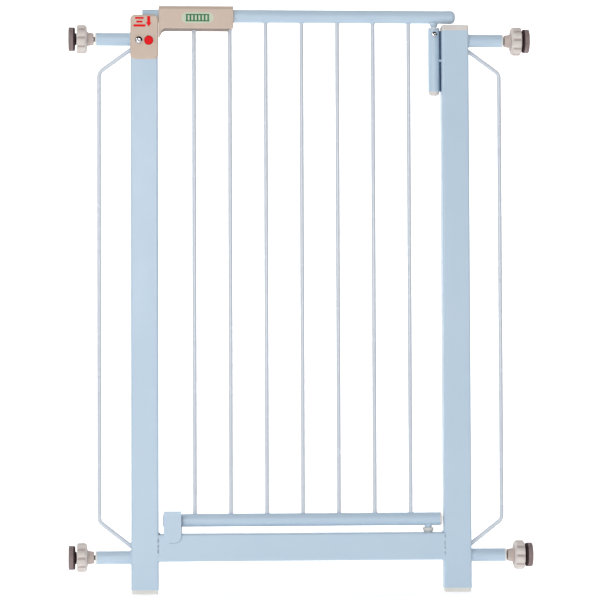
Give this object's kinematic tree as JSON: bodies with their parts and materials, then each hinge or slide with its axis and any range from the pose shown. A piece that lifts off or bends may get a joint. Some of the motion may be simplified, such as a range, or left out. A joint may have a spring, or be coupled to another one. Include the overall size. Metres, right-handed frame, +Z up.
{
  "type": "safety baby gate",
  "caption": "Pressure-fitted safety gate: painted tube frame with adjustable wall pads, and a barred leaf on side pivots with a latch on the opposite post.",
  "frame": {"origin": "centre of the bounding box in plan, at the level of the floor", "axes": "+X to the right seen from the front, towards the hinge side; +Y away from the front, the way the leaf opens; +Z up"},
  "size_m": [0.6798, 0.043, 0.86],
  "materials": {
    "blue_paint": "satin powder coat",
    "cream_plastic": "moulded satin",
    "knob_plastic": "moulded satin",
    "beige_plastic": "moulded satin",
    "pad_rubber": "matt",
    "grey_rubber": "matt",
    "zinc_steel": "zinc plated",
    "chrome_screw": "polished",
    "red_plastic": "gloss",
    "green_label": "gloss"
  },
  "bodies": {
    "frame": {"arm_bushes": "cream_plastic", "bottom_crossbar": "blue_paint", "button_spring": "zinc_steel", "catch_bracket": "blue_paint", "closing_spring": "zinc_steel", "foot_caps": "cream_plastic", "hinge_bush": "cream_plastic", "hinge_plug": "cream_plastic", "hinge_screw": "chrome_screw", "hinge_tube": "blue_paint", "hinge_web": "blue_paint", "latch_body": "beige_plastic", "latch_cover": "beige_plastic", "latch_cover_screw": "chrome_screw", "latch_marks": "red_plastic", "left_guard_rod": "blue_paint", "left_lower_arm": "blue_paint", "left_post": "blue_paint", "left_upper_arm": "blue_paint", "pivot_bush": "cream_plastic", "right_guard_rod": "blue_paint", "right_lower_arm": "blue_paint", "right_post": "blue_paint", "right_top_cap": "cream_plastic", "right_upper_arm": "blue_paint", "stop_bumpers": "grey_rubber"},
    "gate_leaf": {"bar_1": "blue_paint", "bar_2": "blue_paint", "bar_3": "blue_paint", "bar_4": "blue_paint", "bar_5": "blue_paint", "bar_6": "blue_paint", "bar_7": "blue_paint", "bottom_rail": "blue_paint", "bottom_rail_right_cap": "cream_plastic", "handle_back": "beige_plastic", "handle_badge": "green_label", "handle_front": "beige_plastic", "handle_screws": "chrome_screw", "hinge_pin": "blue_paint", "latch_tongue": "blue_paint", "pivot_pin": "blue_paint", "rail_plugs": "blue_paint", "top_rail": "blue_paint", "top_rail_cap": "blue_paint"},
    "red_button": {"red_button": "red_plastic"},
    "latch_bolt": {"latch_bolt": "zinc_steel"},
    "left_upper_knob": {"left_upper_knob": "knob_plastic"},
    "left_upper_foot": {"left_upper_rod": "zinc_steel", "left_upper_pad": "pad_rubber"},
    "left_lower_knob": {"left_lower_knob": "knob_plastic"},
    "left_lower_foot": {"left_lower_rod": "zinc_steel", "left_lower_pad": "pad_rubber"},
    "right_upper_knob": {"right_upper_knob": "knob_plastic"},
    "right_upper_foot": {"right_upper_rod": "zinc_steel", "right_upper_pad": "pad_rubber"},
    "right_lower_knob": {"right_lower_knob": "knob_plastic"},
    "right_lower_foot": {"right_lower_rod": "zinc_steel", "right_lower_pad": "pad_rubber"}
  },
  "joints": [
    {"name": "gate_swing", "type": "hinge", "parent": "frame", "child": "gate_leaf", "pos_m": [0.1865, 0, 0.089], "axis": [-0.0165, 0, -0.9999], "range_deg": [0, 95], "stiffness_Nm_per_rad": 0.35, "springref_deg": -34.38},
    {"name": "bolt_rise", "type": "slide", "parent": "frame", "child": "latch_bolt", "axis": [0, 0, 1], "range_m": [0, 0.005], "stiffness_N_per_m": 150, "springref_m": 0.012},
    {"name": "button_out", "type": "slide", "parent": "frame", "child": "red_button", "axis": [0, -1, 0], "range_m": [0, 0.005]},
    {"name": "left_upper_turn", "type": "hinge", "parent": "frame", "child": "left_upper_knob", "pos_m": [-0.32, 0, 0.8118], "axis": [-1, 0, 0], "range_deg": [0, 3600]},
    {"name": "left_upper_extend", "type": "slide", "parent": "frame", "child": "left_upper_foot", "axis": [-1, 0, 0], "range_m": [0, 0.025]},
    {"name": "left_lower_turn", "type": "hinge", "parent": "frame", "child": "left_lower_knob", "pos_m": [-0.32, 0, 0.053], "axis": [-1, 0, 0], "range_deg": [0, 3600]},
    {"name": "left_lower_extend", "type": "slide", "parent": "frame", "child": "left_lower_foot", "axis": [-1, 0, 0], "range_m": [0, 0.025]},
    {"name": "right_upper_turn", "type": "hinge", "parent": "frame", "child": "right_upper_knob", "pos_m": [0.32, 0, 0.8118], "axis": [1, 0, 0], "range_deg": [0, 3600]},
    {"name": "right_upper_extend", "type": "slide", "parent": "frame", "child": "right_upper_foot", "axis": [1, 0, 0], "range_m": [0, 0.025]},
    {"name": "right_lower_turn", "type": "hinge", "parent": "frame", "child": "right_lower_knob", "pos_m": [0.32, 0, 0.053], "axis": [1, 0, 0], "range_deg": [0, 3600]},
    {"name": "right_lower_extend", "type": "slide", "parent": "frame", "child": "right_lower_foot", "axis": [1, 0, 0], "range_m": [0, 0.025]}
  ],
  "couplings": [
    {"joint": "button_out", "follows": "bolt_rise", "ratio": 1},
    {"joint": "left_upper_turn", "follows": "left_upper_extend", "rad_per_m": 2513.3},
    {"joint": "left_lower_turn", "follows": "left_lower_extend", "rad_per_m": 2513.3},
    {"joint": "right_upper_turn", "follows": "right_upper_extend", "rad_per_m": 2513.3},
    {"joint": "right_lower_turn", "follows": "right_lower_extend", "rad_per_m": 2513.3}
  ]
}
